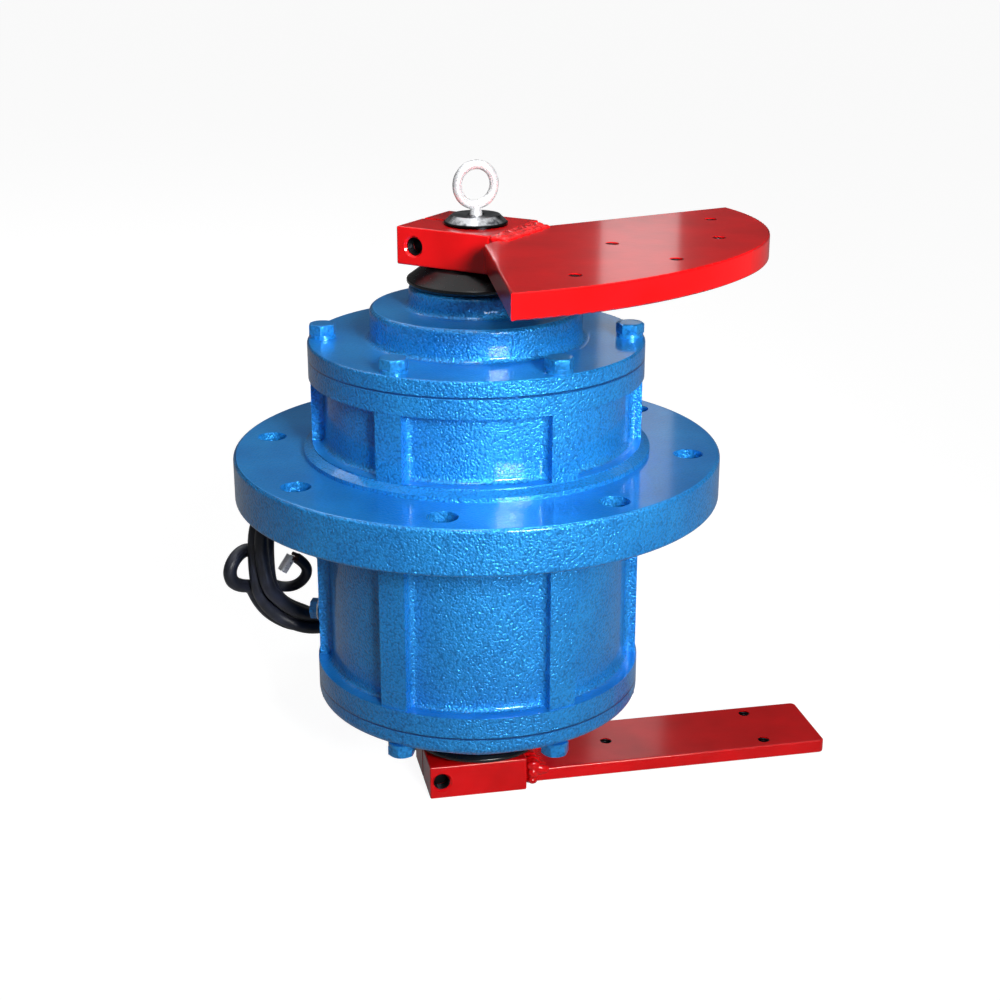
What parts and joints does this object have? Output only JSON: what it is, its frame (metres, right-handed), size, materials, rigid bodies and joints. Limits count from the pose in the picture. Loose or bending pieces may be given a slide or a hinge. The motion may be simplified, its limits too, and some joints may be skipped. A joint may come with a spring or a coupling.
{
  "type": "vertical vibration motor",
  "caption": "Vertical flange-mounted vibration motor with ribbed cast housing and an out-of-balance weight clamped to each end of its shaft.",
  "frame": {"origin": "centre of the flange's lower face", "axes": "+Z along the shaft towards the lifting eye, -Y towards the front of the pictured view, +X to its right"},
  "size_m": [0.4396, 0.3597, 0.4448],
  "materials": {
    "hammertone_blue": "blue hammertone enamel on cast iron",
    "gloss_red": "gloss red enamel on steel",
    "shaft_steel": "ground steel, darkened on its end",
    "plated_steel": "bright zinc plating",
    "core_steel": "electrical sheet, laminated",
    "varnished_copper": "copper wire under red-brown varnish",
    "cast_aluminium": "as cast",
    "bearing_steel": "ground and polished",
    "bearing_brass": "machined",
    "grey_iron": "machined grey iron",
    "dark_screw_steel": "blackened",
    "seal_rubber": "moulded nitrile rubber",
    "slinger_rubber": "moulded rubber, satin",
    "gland_plastic": "black polyamide",
    "cable_rubber": "bluish black rubber sheath",
    "core_insulation": "core insulation"
  },
  "bodies": {
    "housing": {"motor_housing": "hammertone_blue", "stator_core": "core_steel", "stator_winding": "varnished_copper", "upper_cover": "hammertone_blue", "upper_cover_bolts": "hammertone_blue", "upper_spring_washers": "hammertone_blue", "upper_bearing_outer_ring": "bearing_steel", "upper_bearing_cap": "grey_iron", "upper_cap_screws": "dark_screw_steel", "upper_oil_seal": "seal_rubber", "lower_cover": "hammertone_blue", "lower_cover_bolts": "hammertone_blue", "lower_spring_washers": "hammertone_blue", "lower_bearing_outer_ring": "bearing_steel", "lower_bearing_cap": "grey_iron", "lower_cap_screws": "dark_screw_steel", "lower_oil_seal": "seal_rubber", "cable_gland_body": "gland_plastic", "cable_gland_nut": "gland_plastic", "cable_gland_sleeve": "cable_rubber", "earth_screw": "hammertone_blue", "earth_washer": "plated_steel", "supply_cable": "cable_rubber", "cable_hank": "cable_rubber", "cable_bight": "cable_rubber", "cable_tail": "cable_rubber", "cable_cores": "core_insulation", "cable_lugs": "plated_steel"},
    "rotor": {"rotor_shaft": "shaft_steel", "rotor_core": "core_steel", "rotor_cage": "cast_aluminium", "upper_bearing_inner_ring": "bearing_steel", "upper_circlip": "dark_screw_steel", "upper_slinger": "slinger_rubber", "lower_bearing_inner_ring": "bearing_steel", "lower_circlip": "dark_screw_steel", "lower_slinger": "slinger_rubber", "upper_clamp_block": "gloss_red", "upper_weight_plate": "gloss_red", "upper_weld_bead": "gloss_red", "upper_clamp_bolt": "dark_screw_steel", "upper_clamp_washer": "dark_screw_steel", "lifting_eye_bolt": "plated_steel"},
    "lower_weight": {"lower_clamp_block": "gloss_red", "lower_weight_bar": "gloss_red", "lower_weld_bead": "gloss_red", "lower_clamp_bolt": "dark_screw_steel", "lower_clamp_washer": "dark_screw_steel"},
    "upper_rollers": {"upper_rollers": "bearing_steel", "upper_roller_cage": "bearing_brass"},
    "lower_rollers": {"lower_rollers": "bearing_steel", "lower_roller_cage": "bearing_brass"}
  },
  "joints": [
    {"name": "rotor_spin", "type": "hinge", "parent": "housing", "child": "rotor", "pos_m": [0, 0, 0], "axis": [0, 0, 1], "continuous": true},
    {"name": "lower_weight_phase", "type": "hinge", "parent": "rotor", "child": "lower_weight", "pos_m": [0, 0, -0.2078], "axis": [0, 0, 1], "continuous": true},
    {"name": "upper_roller_spin", "type": "hinge", "parent": "housing", "child": "upper_rollers", "pos_m": [0, 0, 0.1101], "axis": [0, 0, 1], "continuous": true},
    {"name": "lower_roller_spin", "type": "hinge", "parent": "housing", "child": "lower_rollers", "pos_m": [0, 0, -0.1488], "axis": [0, 0, 1], "continuous": true}
  ],
  "couplings": [
    {"joint": "upper_roller_spin", "follows": "rotor_spin", "ratio": 0.4034},
    {"joint": "lower_roller_spin", "follows": "rotor_spin", "ratio": 0.4034}
  ]
}
